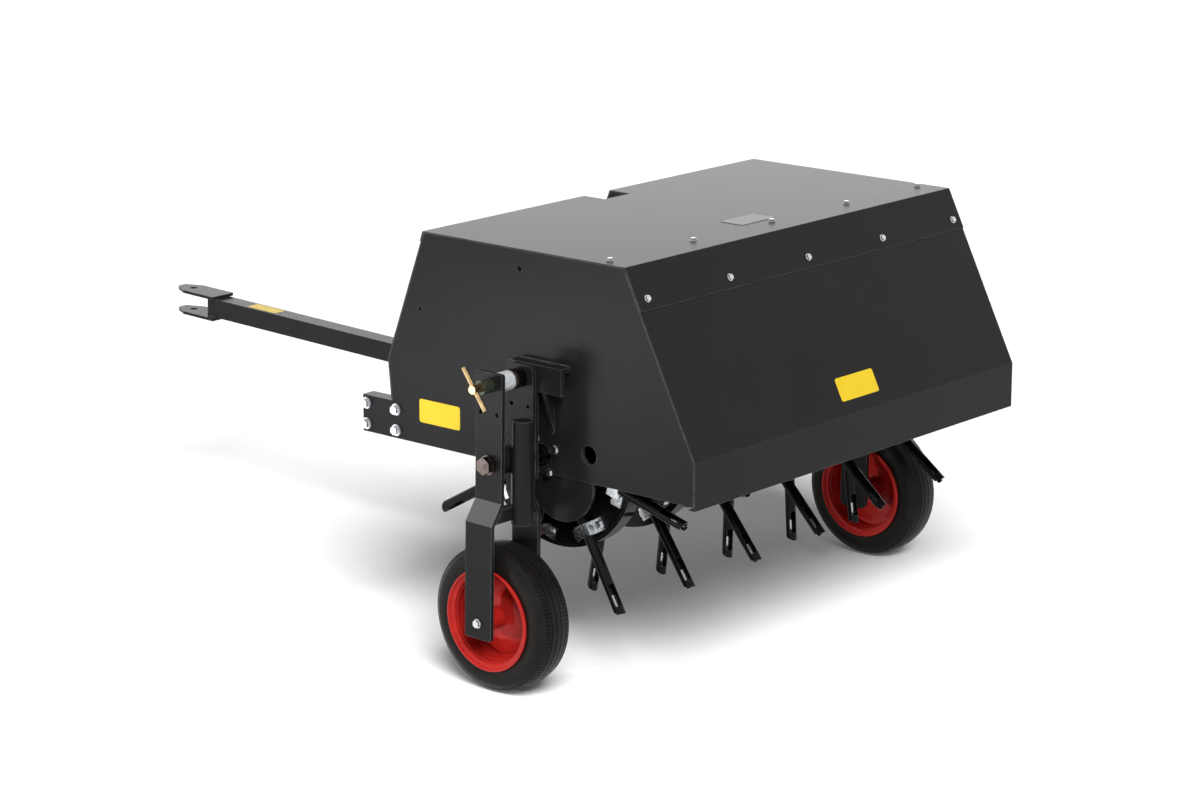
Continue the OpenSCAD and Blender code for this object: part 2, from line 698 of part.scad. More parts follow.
module tine_clamps() color(zinc) at_tines() translate([tine_x, 0, -clamp_r]) difference() {
    union() {
        block([tine_d / 2 - clamp_t, -clamp_l / 2, -clamp_w / 2], [tine_d / 2, clamp_l / 2, clamp_w / 2]);
        block([-tine_d / 2 - clamp_t * 0.6, -tine_d / 2 - clamp_t, -clamp_w / 2],
            [tine_d / 2, tine_d / 2 + clamp_t, clamp_w / 2]);
    }
    cylinder(d = tine_d + 2 * run_gap, h = 2 * clamp_w, center = true);
    block([0, -tine_d / 2 - run_gap, -clamp_w], [tine_d, tine_d / 2 + run_gap, clamp_w]);
    for (s = [-1, 1]) rod_x(clamp_bolt_d + 2 * bolt_gap, -tine_d, tine_d, s * clamp_bolt_y);
}

module clamp_bolts() color(zinc) at_tines() for (s = [-1, 1])
    translate([web_x - clamp_t, s * clamp_bolt_y, -clamp_r]) rotate([0, -90, 0])
        bolt(clamp_bolt_d, clamp_t + web_t);

// Wheel arm frame: the arm pivot at the origin, the leg along -Z
module on_arm() { translate([0, pivot_y, pivot_h]) rotate([arm_lean, 0, 0]) children(); }
module leg_outline(z1, r) {
    translate([-leg_w / 2, foot_z + r]) square([leg_w, z1 - foot_z - 2 * r]);
    translate([-leg_w / 2 + r, foot_z]) square([leg_w - 2 * r, z1 - foot_z]);
    for (y = [-1, 1], z = [foot_z + r, z1 - r]) translate([y * (leg_w / 2 - r), z]) circle(r);
}
module leg(face, top, corner_r) color(black_paint) on_arm() difference() {
    intersection() {
        span_y(-leg_w, leg_w) polygon(bent_sheet(face, leg_t));
        span_x(0, hood_w) leg_outline(top, corner_r);
    }
    rod_x(stub_d + 2 * run_gap, 0, hood_w);
    rod_x(pin_d + 2 * run_gap, 0, hood_w, 0, lock_up);
    for (s = [-1, 1]) rod_x(leg_hole_d, 0, hood_w, s * leg_hole_y, leg_hole_z);
    rod_x(axle_bolt_d + 2 * run_gap, 0, hood_w, 0, -arm_l);
}
module outer_leg() leg([[outer_face, outer_leg_top], [outer_face, -joggle_drop], [outer_foot, joggle_z],
    [outer_foot, foot_z]], outer_leg_top, 6);
module inner_leg() leg([[inner_foot, foot_z], [inner_foot, joggle_z], [inner_face, -joggle_drop],
    [inner_face, inner_leg_top]], inner_leg_top, 16);

// The web fills the gap between the legs' inner faces, with a seat for the lever socket
module crown_web() color(black_paint) on_arm() difference() {
    intersection() {
        span_y(socket_y + 14, socket_y + 34) polygon([[inner_foot, foot_z], [outer_foot, foot_z],
            [outer_foot, joggle_z], [outer_face, -joggle_drop], [outer_face, 0], [inner_face, 0],
            [inner_face, -joggle_drop], [inner_foot, joggle_z]]);
        block([0, -leg_w, crown_z], [hood_w, leg_w, crown_z + crown_h]);
    }
    translate([wheel_x, socket_y, crown_z - 1]) cylinder(d = socket_d + 0.1, h = 2 * crown_h);
}
module lever_socket() color(black_paint) on_arm() translate([wheel_x, socket_y, -socket_drop]) difference() {
    cylinder(d = socket_d, h = socket_top + socket_drop);
    translate([0, 0, -1]) cylinder(d = socket_d - 2 * socket_wall, h = socket_top + socket_drop + 2);
}
module pivot_tube() color(dark_steel) on_arm() difference() {
    rod_x(pivot_tube_d, inner_face, outer_face);
    rod_x(stub_d + 2 * run_gap, 0, hood_w);
}

// Lock plunger
module plunger_body() color(body_green) on_arm() difference() {
    rod_x(body_d, outer_face + leg_t, body_end, 0, lock_up);
    rod_x(pin_d + 2 * run_gap, 0, hood_w, 0, lock_up);
}
module plunger_sleeve() color(zinc) on_arm() difference() {
    rod_x(sleeve_d, inner_face, outer_face, 0, lock_up);
    rod_x(pin_d + 2 * run_gap, 0, hood_w, 0, lock_up);
    rod_x(pin_d + 14, chamber_x, outer_face + 1, 0, lock_up);
}
module plunger_spring() color(zinc) on_arm() difference() {
    rod_x(pin_d + 11, spring_x, outer_face, 0, lock_up);
    rod_x(pin_d + 3, 0, hood_w, 0, lock_up);
}
module lock_pin() color(brass) on_arm() translate([0, 0, lock_up]) {
    rod_x(pin_d, pin_nose, tbar_x + 8);
    rod_x(pin_d + 12, collar_x, collar_x + 6);
    translate([tbar_x, 0, 0]) rotate([-tbar_tilt, 0, 0]) cylinder(d = tbar_d, h = tbar_l, center = true);
}

// Axle with bolt heads outside both legs
module axle() color(zinc) on_arm() translate([0, 0, -arm_l]) {
    rod_x(axle_d, inner_foot, outer_foot);
    rod_x(axle_bolt_d, inner_foot - leg_t - 1, outer_foot + leg_t + 1);
    translate([outer_foot + leg_t, 0, 0]) rotate([0, 90, 0]) bolt(axle_bolt_d, 1);
    translate([inner_foot - leg_t, 0, 0]) rotate([0, -90, 0]) cylinder(d = axle_bolt_d * 1.8, h = 8, $fn = 6);
}

// Wheels, with the profile as [radius, distance from the wheel's middle]
module on_wheel() { on_arm() translate([wheel_x, 0, -arm_l]) children(); }
seat_r = rim_r - flange_h;
rim_half = rim_gap / 2 + rim_sheet;
bush_half = foot_gap / 2 - 2;
bush_r = axle_d / 2 + 5;
module rim() color(rim_red) on_wheel() turn_x() {
    for (s = [-1, 1]) {
        translate([seat_r - rim_sheet, s > 0 ? rim_gap / 2 : -rim_half])
            square([flange_h + rim_sheet - 3, rim_sheet]);
        translate([rim_r - 4, s * (rim_half + 1)]) circle(4);
    }
    translate([seat_r - rim_sheet, -rim_half]) square([rim_sheet, 2 * rim_half]);
    polygon(bent_sheet([[seat_r - 1, -8], [seat_r - 14, -8], [hub_d / 2 + 22, 12],
        [hub_d / 2 - 1, 12]], rim_sheet));
    translate([bush_r + 0.02, -bush_half + 6]) square([hub_d / 2 - bush_r, 2 * bush_half - 12]);
}
module wheel_bush() color(bronze) on_wheel() difference() {
    rod_x(2 * bush_r, -bush_half, bush_half);
    rod_x(axle_d + 2 * run_gap, -hood_w, hood_w);
}
// Round-shouldered section with grooves between the ribs
module tyre_section() {
    half = tyre_w / 2;
    shoulder = 26;
    difference() {
        union() {
            translate([seat_r + 0.05, -rim_gap / 2]) square([wheel_r - seat_r - shoulder, rim_gap]);
            translate([rim_r + 2, -half + 6]) square([wheel_r - rim_r - shoulder, tyre_w - 12]);
            for (s = [-1, 1]) translate([wheel_r - shoulder - 8, s * (half - shoulder)]) circle(shoulder);
            translate([wheel_r - shoulder - 8, -half + shoulder]) square([shoulder, tyre_w - 2 * shoulder]);
            intersection() {
                translate([wheel_r - 2 * half, 0]) circle(2 * half, $fn = 96);
                translate([wheel_r - 40, -half + 14]) square([60, tyre_w - 28]);
            }
        }
        translate([seat_r - 1, -rim_gap / 2 + 10]) square([wheel_r - seat_r - 15, rim_gap - 20]);
        for (s = [0, 1]) mirror([0, s]) translate([0, rim_gap / 2]) square([rim_r + 0.5, tyre_w]);
        for (i = [1 : tread_ribs - 1])
            translate([wheel_r - groove_d - 1, (i / tread_ribs - 0.5) * (tyre_w - 30) - 1.5])
                square([2 * groove_d + 2, 3]);
    }
}
module tyre() color(rubber) on_wheel() turn_x() tyre_section();
module valve() color(dark_steel) on_wheel() rotate([-120, 0, 0]) {
    translate([18, 0, seat_r - rim_sheet - 26]) cylinder(d = 8, h = 25.7);
    translate([18, 0, seat_r - rim_sheet - 34]) cylinder(d = 5, h = 9);
}

module left_outer_leg() on_side(-1) outer_leg();
module left_inner_leg() on_side(-1) inner_leg();
module left_crown_web() on_side(-1) crown_web();
module left_lever_socket() on_side(-1) lever_socket();
module left_pivot_tube() on_side(-1) pivot_tube();
module left_plunger_body() on_side(-1) plunger_body();
module left_plunger_sleeve() on_side(-1) plunger_sleeve();
module left_plunger_spring() on_side(-1) plunger_spring();
module left_lock_pin() on_side(-1) lock_pin();
module left_axle() on_side(-1) axle();
module left_tyre() on_side(-1) tyre();
module left_rim() on_side(-1) rim();
module left_wheel_bush() on_side(-1) wheel_bush();
module left_valve() on_side(-1) valve();
module right_outer_leg() outer_leg();
module right_inner_leg() inner_leg();
module right_crown_web() crown_web();
module right_lever_socket() lever_socket();
module right_pivot_tube() pivot_tube();
module right_plunger_body() plunger_body();
module right_plunger_sleeve() plunger_sleeve();
module right_plunger_spring() plunger_spring();
module right_lock_pin() lock_pin();
module right_axle() axle();
module right_tyre() tyre();
module right_rim() rim();
module right_wheel_bush() wheel_bush();
module right_valve() valve();

top_cover();
rear_panel();
front_panels();
tongue_pocket();
left_side_plate();
right_side_plate();
rear_rail();
cover_bolts();
data_plate();
front_beam();
beam_brackets();
tab_bolts();
tongue_ears();
tongue_rest();
fold_bolt();
drawbar_tube();
fold_sleeve();
upper_clevis_plate();
lower_clevis_plate();
bearing_hangers();
flange_bearings();
bearing_bolts();
left_wheel_bracket();
right_wheel_bracket();
pivot_bolts();
rotor_shaft();
disc_hubs();
tine_discs();
disc_rims();
tines();
tine_clamps();
clamp_bolts();
left_outer_leg();
left_inner_leg();
left_crown_web();
left_lever_socket();
left_pivot_tube();
left_plunger_body();
left_plunger_sleeve();
left_plunger_spring();
left_lock_pin();
left_axle();
left_tyre();
left_rim();
left_wheel_bush();
left_valve();
right_outer_leg();
right_inner_leg();
right_crown_web();
right_lever_socket();
right_pivot_tube();
right_plunger_body();
right_plunger_sleeve();
right_plunger_spring();
right_lock_pin();
right_axle();
right_tyre();
right_rim();
right_wheel_bush();
right_valve();
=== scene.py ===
import bpy
import bmesh
import json
import math
from mathutils import Matrix, Vector

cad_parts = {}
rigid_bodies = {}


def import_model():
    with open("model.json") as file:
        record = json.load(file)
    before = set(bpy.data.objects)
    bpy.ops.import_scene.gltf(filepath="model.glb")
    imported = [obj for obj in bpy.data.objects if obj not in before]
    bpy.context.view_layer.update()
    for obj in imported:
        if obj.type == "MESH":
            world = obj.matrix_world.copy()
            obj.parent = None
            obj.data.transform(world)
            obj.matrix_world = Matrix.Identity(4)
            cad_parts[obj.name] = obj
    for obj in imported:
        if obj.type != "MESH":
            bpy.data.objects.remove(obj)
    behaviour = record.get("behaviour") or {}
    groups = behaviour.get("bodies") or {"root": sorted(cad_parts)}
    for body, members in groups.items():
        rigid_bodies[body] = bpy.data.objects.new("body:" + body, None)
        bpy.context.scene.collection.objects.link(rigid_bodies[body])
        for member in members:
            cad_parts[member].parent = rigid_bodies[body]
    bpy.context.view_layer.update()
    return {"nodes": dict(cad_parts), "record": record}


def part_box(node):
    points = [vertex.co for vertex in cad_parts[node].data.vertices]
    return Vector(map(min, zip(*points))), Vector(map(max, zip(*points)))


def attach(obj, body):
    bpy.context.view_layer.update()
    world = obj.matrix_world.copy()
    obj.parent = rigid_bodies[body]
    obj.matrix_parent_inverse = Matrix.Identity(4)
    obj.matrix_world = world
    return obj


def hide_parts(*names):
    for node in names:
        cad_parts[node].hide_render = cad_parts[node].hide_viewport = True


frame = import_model()
nodes = frame["nodes"]
scene = bpy.context.scene
scene.view_settings.view_transform = "Standard"
print("frame loaded:", len(nodes), "nodes")

# camera, floor and light

cameraSetup = {"place": (-5.994, -5.524, 2.508), "azimuth": -49.2, "elevation": 14.38, "lens": 101.54}
stageSetup = {
    "floorSize": 80.0,
    "floorDrop": 0.001,
    "floorColour": (0.92, 0.92, 0.92, 1),
    "floorGlow": 0.03,  # white added for the camera, so the lit floor is white and the shadow stays grey
    "skyColour": (1, 1, 1, 1),
    "skyFill": 0.2,
}
sunSetup = {"place": (-4.4, -5.4, 6.4), "strength": 4.8, "softness": 29}
lampSetup = {
    # name: place, aim, width, height, watts, seen in reflections only
    "frontLeft": ((-3.4, 1.6, 0.35), (-0.6, -0.7, 0.62), 0.08, 0.08, 94, False),
    "topCard": ((-2.8, 1.95, 2.6), (-0.75, -0.66, 0.42), 1.8, 1.8, 150, True),
    "farCard": ((6.5, 5.0, 2.0), (0, -0.5, 0.9), 9.0, 2.6, 80, True),
}
legCard = {
    "lamp": "topCard",
    "pieces": ("left_outer_leg", "left_inner_leg", "right_outer_leg", "right_inner_leg"),
}


def addCamera(setup):
    data = bpy.data.cameras.new("photoCamera")
    data.lens = setup["lens"]
    data.sensor_width = 36
    camera = bpy.data.objects.new("photoCamera", data)
    scene.collection.objects.link(camera)
    az, el = math.radians(setup["azimuth"]), math.radians(setup["elevation"])
    back = Vector((math.sin(az) * math.cos(el), -math.cos(az) * math.cos(el), math.sin(el)))
    camera.location = setup["place"]
    camera.rotation_mode = "QUATERNION"
    camera.rotation_quaternion = (-back).to_track_quat("-Z", "Y")
    data.clip_end = 200
    scene.camera = camera


def seenRays(tree):
    # 1 for camera, glossy and transmission rays
    path = tree.nodes.new("ShaderNodeLightPath")
    total = None
    for ray in ("Is Camera Ray", "Is Glossy Ray", "Is Transmission Ray"):
        if total is None:
            total = path.outputs[ray]
            continue
        most = tree.nodes.new("ShaderNodeMath")
        most.operation = "MAXIMUM"
        tree.links.new(total, most.inputs[0])
        tree.links.new(path.outputs[ray], most.inputs[1])
        total = most.outputs[0]
    return total


def addStage(setup):
    mesh = bpy.data.meshes.new("floor")
    half = setup["floorSize"] / 2
    corners = [(-half, -half, 0), (half, -half, 0), (half, half, 0), (-half, half, 0)]
    mesh.from_pydata(corners, [], [(0, 1, 2, 3)])
    floor = bpy.data.objects.new("floor", mesh)
    floor.location.z = -setup["floorDrop"]
    scene.collection.objects.link(floor)
    paint = bpy.data.materials.new("floorPaint")
    paint.use_nodes = True
    tree = paint.node_tree
    tree.nodes.clear()
    out = tree.nodes.new("ShaderNodeOutputMaterial")
    matte = tree.nodes.new("ShaderNodeBsdfDiffuse")
    matte.inputs["Color"].default_value = setup["floorColour"]
    glow = tree.nodes.new("ShaderNodeEmission")
    level = tree.nodes.new("ShaderNodeMath")
    level.operation = "MULTIPLY"
    level.inputs[1].default_value = setup["floorGlow"]
    both = tree.nodes.new("ShaderNodeAddShader")
    tree.links.new(seenRays(tree), level.inputs[0])
    tree.links.new(level.outputs[0], glow.inputs["Strength"])
    tree.links.new(matte.outputs[0], both.inputs[0])
    tree.links.new(glow.outputs[0], both.inputs[1])
    tree.links.new(both.outputs[0], out.inputs["Surface"])
    mesh.materials.append(paint)

    world = bpy.data.worlds.new("studio")
    scene.world = world
    world.use_nodes = True
    tree = world.node_tree
    sky = tree.nodes["Background"]
    sky.inputs["Color"].default_value = setup["skyColour"]
    strength = tree.nodes.new("ShaderNodeMapRange")
    strength.inputs["To Min"].default_value = setup["skyFill"]
    strength.inputs["To Max"].default_value = 1.0
    tree.links.new(seenRays(tree), strength.inputs["Value"])
    tree.links.new(strength.outputs[0], sky.inputs["Strength"])


def addLamps(setup):
    for name, (place, aim, width, height, watts, card) in setup.items():
        data = bpy.data.lights.new(name, "AREA")
        data.shape = "RECTANGLE"
        data.size, data.size_y, data.energy = width, height, watts
        lamp = bpy.data.objects.new(name, data)
        scene.collection.objects.link(lamp)
        lamp.location = place
        lamp.rotation_euler = (Vector(aim) - Vector(place)).to_track_quat("-Z", "Y").to_euler()
        lamp.visible_camera = False
        lamp.visible_glossy = card
        lamp.visible_diffuse = not card


def lightOnly(setup):
    # keeps a card's reflection off all but the named pieces
    group = bpy.data.collections.new(setup["lamp"] + "Pieces")
    for name in setup["pieces"]:
        group.objects.link(nodes[name])
    bpy.data.objects[setup["lamp"]].light_linking.receiver_collection = group


def addSun(setup):
    data = bpy.data.lights.new("skylight", "SUN")
    data.energy = setup["strength"]
    data.angle = math.radians(setup["softness"])
    sun = bpy.data.objects.new("skylight", data)
    scene.collection.objects.link(sun)
    sun.rotation_euler = (-Vector(setup["place"])).to_track_quat("-Z", "Y").to_euler()
    sun.visible_glossy = False


addCamera(cameraSetup)
addStage(stageSetup)
addLamps(lampSetup)
lightOnly(legCard)
addSun(sunSetup)
print("camera, floor and light are set")

# finishes

finishes = {
    # tones: darkest and lightest colour, patch: patches per metre, rough: range,
    # grain: bump grains per metre, edge: colour of the painted highlight along edges
    "powderCoat": {"tones": ((0.0086, 0.0083, 0.009), (0.0098, 0.0096, 0.0103)), "patch": 4,
                   "rough": (0.2675, 0.2725), "grain": 700, "bump": 0.012, "specular": 0.09,
                   "edge": (0.11, 0.11, 0.114)},
    "reelGloss": {"tones": ((0.0022, 0.0022, 0.0026), (0.0045, 0.0045, 0.005)), "patch": 14,
                  "rough": (0.08, 0.16), "grain": 500, "bump": 0.012, "specular": 0.11,
                  "edge": (0.03, 0.03, 0.032)},
    "zincPlate": {"tones": ((0.50, 0.52, 0.55), (0.80, 0.81, 0.82)), "patch": 160, "rough": (0.14, 0.30),
                  "grain": 1400, "bump": 0.06, "metal": 1.0},
    # zinc colour with a painted sheen: diffuse lightness stands in for the bright reflection of the sleeve
    # threads
    "zincPaintedSheen": {"tones": ((0.34, 0.35, 0.36), (0.50, 0.51, 0.52)), "patch": 140, "rough": (0.3, 0.45),
                   "grain": 1500, "bump": 0.05, "metal": 0.35},
    "turnedSteel": {"tones": ((0.36, 0.36, 0.37), (0.56, 0.56, 0.56)), "patch": 60, "rough": (0.2, 0.36),
                    "grain": 1800, "bump": 0.06, "metal": 1.0},
    "tipSteel": {"tones": ((0.40, 0.40, 0.41), (0.46, 0.46, 0.47)), "patch": 24, "rough": (0.24, 0.28),
                 "grain": 1800, "bump": 0.02, "metal": 1.0},
    "castIron": {"tones": ((0.018, 0.018, 0.020), (0.034, 0.034, 0.036)), "patch": 40, "rough": (0.5, 0.7),
                 "grain": 420, "bump": 0.25, "specular": 0.4},
    "bronzePlate": {"tones": ((0.075, 0.058, 0.055), (0.15, 0.12, 0.112)), "patch": 120, "rough": (0.16, 0.3),
                    "grain": 1200, "bump": 0.05, "metal": 1.0},
    "brassBar": {"tones": ((0.50, 0.33, 0.15), (0.78, 0.56, 0.30)), "patch": 70, "rough": (0.16, 0.30),
                 "grain": 1500, "bump": 0.05, "metal": 1.0},
    "darkPlating": {"tones": ((0.016, 0.022, 0.016), (0.045, 0.052, 0.034)), "patch": 90,
                    "rough": (0.2, 0.34), "grain": 1200, "bump": 0.05, "metal": 0.4},
    "redEnamel": {"tones": ((0.25, 0.008, 0.006), (0.32, 0.013, 0.010)), "patch": 18, "rough": (0.16, 0.26),
                  "grain": 700, "bump": 0.02, "specular": 0.18},
    "tyreRubber": {"tones": ((0.0052, 0.0046, 0.0042), (0.0082, 0.0072, 0.0064)), "patch": 26,
                   "rough": (0.3, 0.44), "grain": 1100, "bump": 0.08, "specular": 0.11},
    "valveRubber": {"tones": ((0.012, 0.012, 0.012), (0.02, 0.02, 0.02)), "patch": 90, "rough": (0.5, 0.65),
                    "grain": 1500, "bump": 0.08, "specular": 0.4},
    "blankPlate": {"tones": ((0.13, 0.13, 0.137), (0.17, 0.17, 0.178)), "patch": 60, "rough": (0.34, 0.48),
                   "grain": 1600, "bump": 0.05, "metal": 0.0},
    "yellowFilm": {"tones": ((0.52, 0.364, 0.010), (0.55, 0.386, 0.011)), "patch": 30, "rough": (0.36, 0.42),
                   "grain": 2200, "bump": 0.05, "specular": 0.25},
}


def link(tree, a, b):
    tree.links.new(a, b)


def noiseAt(tree, coord, scale, detail=3.0):
    noise = tree.nodes.new("ShaderNodeTexNoise")
    noise.inputs["Scale"].default_value = scale
    noise.inputs["Detail"].default_value = detail
    link(tree, coord, noise.inputs["Vector"])
    return noise.outputs["Fac"]


def spread(tree, value, low, high):
    # stretches a noise of about 0.3 to 0.7 over low to high
    fit = tree.nodes.new("ShaderNodeMapRange")
    fit.inputs["From Min"].default_value = 0.3
    fit.inputs["From Max"].default_value = 0.7
    fit.inputs["To Min"].default_value = low
    fit.inputs["To Max"].default_value = high
    link(tree, value, fit.inputs["Value"])
    return fit.outputs[0]


# how far the painted edge highlight reaches from an edge, where it starts and is full, and what breaks it up
edgeHighlightSetup = {"radius": 0.0022, "samples": 4, "startsAt": 0.995, "fullAt": 0.85, "noise": 70, "least": 0.3}


def paintedEdgeHighlight(tree, colour, place, edgeColour, setup=edgeHighlightSetup):
    # paints a highlight along edges: lightens the paint where a rounded normal differs from the face's own,
    # broken up by noise
    bevel = tree.nodes.new("ShaderNodeBevel")
    bevel.samples = setup["samples"]
    bevel.inputs["Radius"].default_value = setup["radius"]
    face = tree.nodes.new("ShaderNodeNewGeometry")
    dot = tree.nodes.new("ShaderNodeVectorMath")
    dot.operation = "DOT_PRODUCT"
    link(tree, bevel.outputs[0], dot.inputs[0])
    link(tree, face.outputs["Normal"], dot.inputs[1])
    amount = tree.nodes.new("ShaderNodeMapRange")
    amount.inputs["From Min"].default_value = setup["startsAt"]
    amount.inputs["From Max"].default_value = setup["fullAt"]
    link(tree, dot.outputs["Value"], amount.inputs["Value"])
    broken = tree.nodes.new("ShaderNodeMath")
    broken.operation = "MULTIPLY"
    link(tree, amount.outputs[0], broken.inputs[0])
    link(tree, spread(tree, noiseAt(tree, place, setup["noise"]), setup["least"], 1.0), broken.inputs[1])
    mix = tree.nodes.new("ShaderNodeMix")
    mix.data_type = "RGBA"
    mix.inputs["B"].default_value = (*edgeColour, 1)
    link(tree, broken.outputs[0], mix.inputs["Factor"])
    link(tree, colour, mix.inputs["A"])
    return mix.outputs["Result"]


def makeFinish(name, f):
    paint = bpy.data.materials.new(name)
    paint.use_nodes = True
    tree = paint.node_tree
    shader = tree.nodes["Principled BSDF"]
    place = tree.nodes.new("ShaderNodeTexCoord").outputs["Object"]
    patch = noiseAt(tree, place, f["patch"])
    mix = tree.nodes.new("ShaderNodeMix")
    mix.data_type = "RGBA"
    mix.inputs["A"].default_value = (*f["tones"][0], 1)
    mix.inputs["B"].default_value = (*f["tones"][1], 1)
    link(tree, spread(tree, patch, 0, 1), mix.inputs["Factor"])
    colour = mix.outputs["Result"]
    if "edge" in f:
        # painted highlight along the edges
        colour = paintedEdgeHighlight(tree, colour, place, f["edge"])
    link(tree, colour, shader.inputs["Base Color"])
    link(tree, spread(tree, noiseAt(tree, place, f["patch"] * 3.7), *f["rough"]), shader.inputs["Roughness"])
    bump = tree.nodes.new("ShaderNodeBump")
    bump.inputs["Strength"].default_value = f["bump"]
    bump.inputs["Distance"].default_value = 0.001
    link(tree, noiseAt(tree, place, f["grain"], 2.0), bump.inputs["Height"])
    link(tree, bump.outputs[0], shader.inputs["Normal"])
    shader.inputs["Metallic"].default_value = f.get("metal", 0)
    shader.inputs["Specular IOR Level"].default_value = f.get("specular", 0.5)
    return paint


paints = {name: makeFinish(name, f) for name, f in finishes.items()}
slotPaint = {"black_paint": "powderCoat", "reel_paint": "reelGloss", "zinc": "zincPlate",
             "shaft_steel": "turnedSteel", "bearing_iron": "castIron", "bronze_zinc": "bronzePlate",
             "brass": "brassBar", "plunger_green": "darkPlating", "red_paint": "redEnamel",
             "tyre": "tyreRubber", "valve_rubber": "valveRubber", "data_plate": "blankPlate"}
nodeSlot = {s["node"]: s["material_slot"] for s in frame["record"]["subparts"]}


def coat(piece, slotName):
    piece.data.materials.clear()
    piece.data.materials.append(paints[slotPaint[slotName]])


# softened edges on the CAD pieces

edgeRadius = {"top_cover": 0.002, "rear_panel": 0.002, "front_panels": 0.002, "tongue_pocket": 0.0012,
              "drawbar_tube": 0.003, "front_beam": 0.003, "tines": 0.0008, "tine_discs": 0.002}
bevelSetup = {"usualRadius": 0.001, "segments": 2, "angle": 35}


def softenEdges(piece, radius, setup=bevelSetup):
    bevel = piece.modifiers.new("softEdge", "BEVEL")
    bevel.width = radius
    bevel.segments = setup["segments"]
    bevel.limit_method = "ANGLE"
    bevel.angle_limit = math.radians(setup["angle"])
    bevel.harden_normals = True


for name, piece in nodes.items():
    coat(piece, nodeSlot[name])
    softenEdges(piece, edgeRadius.get(name, bevelSetup["usualRadius"]))
print("finishes and edges are on", len(nodes), "nodes")

# helpers for new pieces

sharpAngle = 38


def addPiece(name, points, faces, slotName, body, paint=None, smooth=True):
    mesh = bpy.data.meshes.new(name)
    mesh.from_pydata([tuple(p) for p in points], [], faces)
    mesh.validate()
    work = bmesh.new()
    work.from_mesh(mesh)
    bmesh.ops.recalc_face_normals(work, faces=work.faces)
    for face in work.faces:
        face.smooth = smooth
    work.to_mesh(mesh)
    work.free()
    if smooth:
        mesh.set_sharp_from_angle(angle=math.radians(sharpAngle))
    piece = bpy.data.objects.new(name, mesh)
    scene.collection.objects.link(piece)
    mesh.materials.append(paints[paint or slotPaint[slotName]])
    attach(piece, body)
    return piece


def boxMiddle(name):
    low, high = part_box(name)
    return (low + high) / 2


def lathe(loops, steps, centre, side, reliefAt=None):
    # turns closed loops of (radius, x) in millimetres round the X axis through centre
    points, faces = [], []
    for loop in loops:
        start, count = len(points), len(loop)
        for i in range(steps):
            turn = 2 * math.pi * i / steps
            for radius, x in loop:
                r = radius - (reliefAt(radius, x, i) if reliefAt else 0)
                points.append(centre + Vector((side * x, r * math.sin(turn), r * math.cos(turn))) / 1000)
        for i in range(steps):
            here, ahead = start + i * count, start + (i + 1) % steps * count
            for k in range(count):
                m = (k + 1) % count
                faces.append((here + k, here + m, ahead + m, ahead + k))
    return points, faces


# tyres with grooved tread and sipes on the shoulders

tyreSetup = {
    "wall": [(103.3, 30), (103.3, 47.6), (118.9, 47.6), (119.4, 48.8), (123, 49.6), (126, 49.2),
             (127.5, 49.9), (134, 50), (141, 49.7), (147, 48.6), (152, 46.4), (156, 43.4), (159, 40.2),
             (160.2, 39.6), (161.6, 39.4), (162.6, 38.4)],
    "crownRadius": 170,
    "crownDrop": 6.2,  # how far the tread falls from the middle to the shoulder
    "treadHalf": 37.6,
    "grooves": (7.5, 21.5),
    "grooveWidth": 2.4,
    "grooveDepth": 2.6,
    "sipeFrom": 25.5,
    "sipeTo": 36.5,
    "sipeDepth": 2.0,
    "sipeEvery": 4,
    "sipeAbove": 155,  # sipes only outside this radius
    "between": (14.5, 30.0, 33.5),  # further places across the tread
    "steps": 480,
}


def tyreLoop(t):
    def crown(x):
        return t["crownRadius"] - t["crownDrop"] * (abs(x) / t["treadHalf"]) ** 2

    marks = {0.0, t["treadHalf"], t["sipeFrom"] - 0.4, t["sipeFrom"], t["sipeTo"], t["sipeTo"] + 0.4}
    half = [(crown(x), x) for x in marks.union(t["between"])]
    for g in t["grooves"]:
        edge, wide = g - t["grooveWidth"] / 2, t["grooveWidth"]
        half += [(crown(edge), edge), (crown(edge) - t["grooveDepth"], edge + 0.3),
                 (crown(edge) - t["grooveDepth"], edge + wide - 0.3), (crown(edge + wide), edge + wide)]
    half.sort(key=lambda p: p[1])
    right = t["wall"] + [p for p in reversed(half)]
    left = [(r, -x) for r, x in reversed(right[:-1])]
    return right + left


def tyreRelief(t):
    def relief(radius, x, step):
        inSipe = t["sipeFrom"] <= abs(x) <= t["sipeTo"] and radius > t["sipeAbove"]
        return t["sipeDepth"] if inSipe and step % t["sipeEvery"] == 0 else 0

    return relief


# rims with rolled edges, a stepped barrel, a dished disc and a hub

rimSetup = {
    "tyreSide": [(103, 0), (103, 40), (103.6, 44), (105, 46.4), (107.5, 47.3), (113.5, 47.4),
                 (116.2, 48.4), (117.6, 50.6), (117.9, 53), (117.5, 55), (116.4, 56.4), (114.6, 56.9),
                 (113, 56.4), (111.9, 55)],
    "inside": [(111.4, 53), (109.6, 52.4), (108.9, 50.8), (105.8, 50.4), (104.9, 49), (102.6, 48.4),
               (101.3, 46.4), (100.6, 42), (99.4, 41), (99, 31), (98.4, 28.6), (96.6, 26.4), (96.2, 23.5),
               (96.2, 0)],
    "disc": [(96.6, -3.6), (93, -3.7), (90.6, -3), (88.4, -1.4), (86, 0.2), (70, 7.2), (54, 14),
             (50.5, 15.6), (47, 16.2), (25.2, 16.2), (25.2, 12.2), (46, 12.2), (49.4, 11.4), (53, 9.8),
             (69, 3), (85, -4), (88, -6.4), (91, -7.7), (96.6, -7.7)],
    "hub": [(15.1, -62.6), (15.9, -63.4), (24.1, -63.4), (25, -62.5), (25, 62.5), (24.1, 63.4),
            (15.9, 63.4), (15.1, 62.6)],
    "steps": 180,
}


def rimLoops(t):
    half = t["tyreSide"] + t["inside"]
    barrel = half + [(r, -x) for r, x in reversed(half[1:-1])]
    return [barrel, t["disc"], t["hub"]]


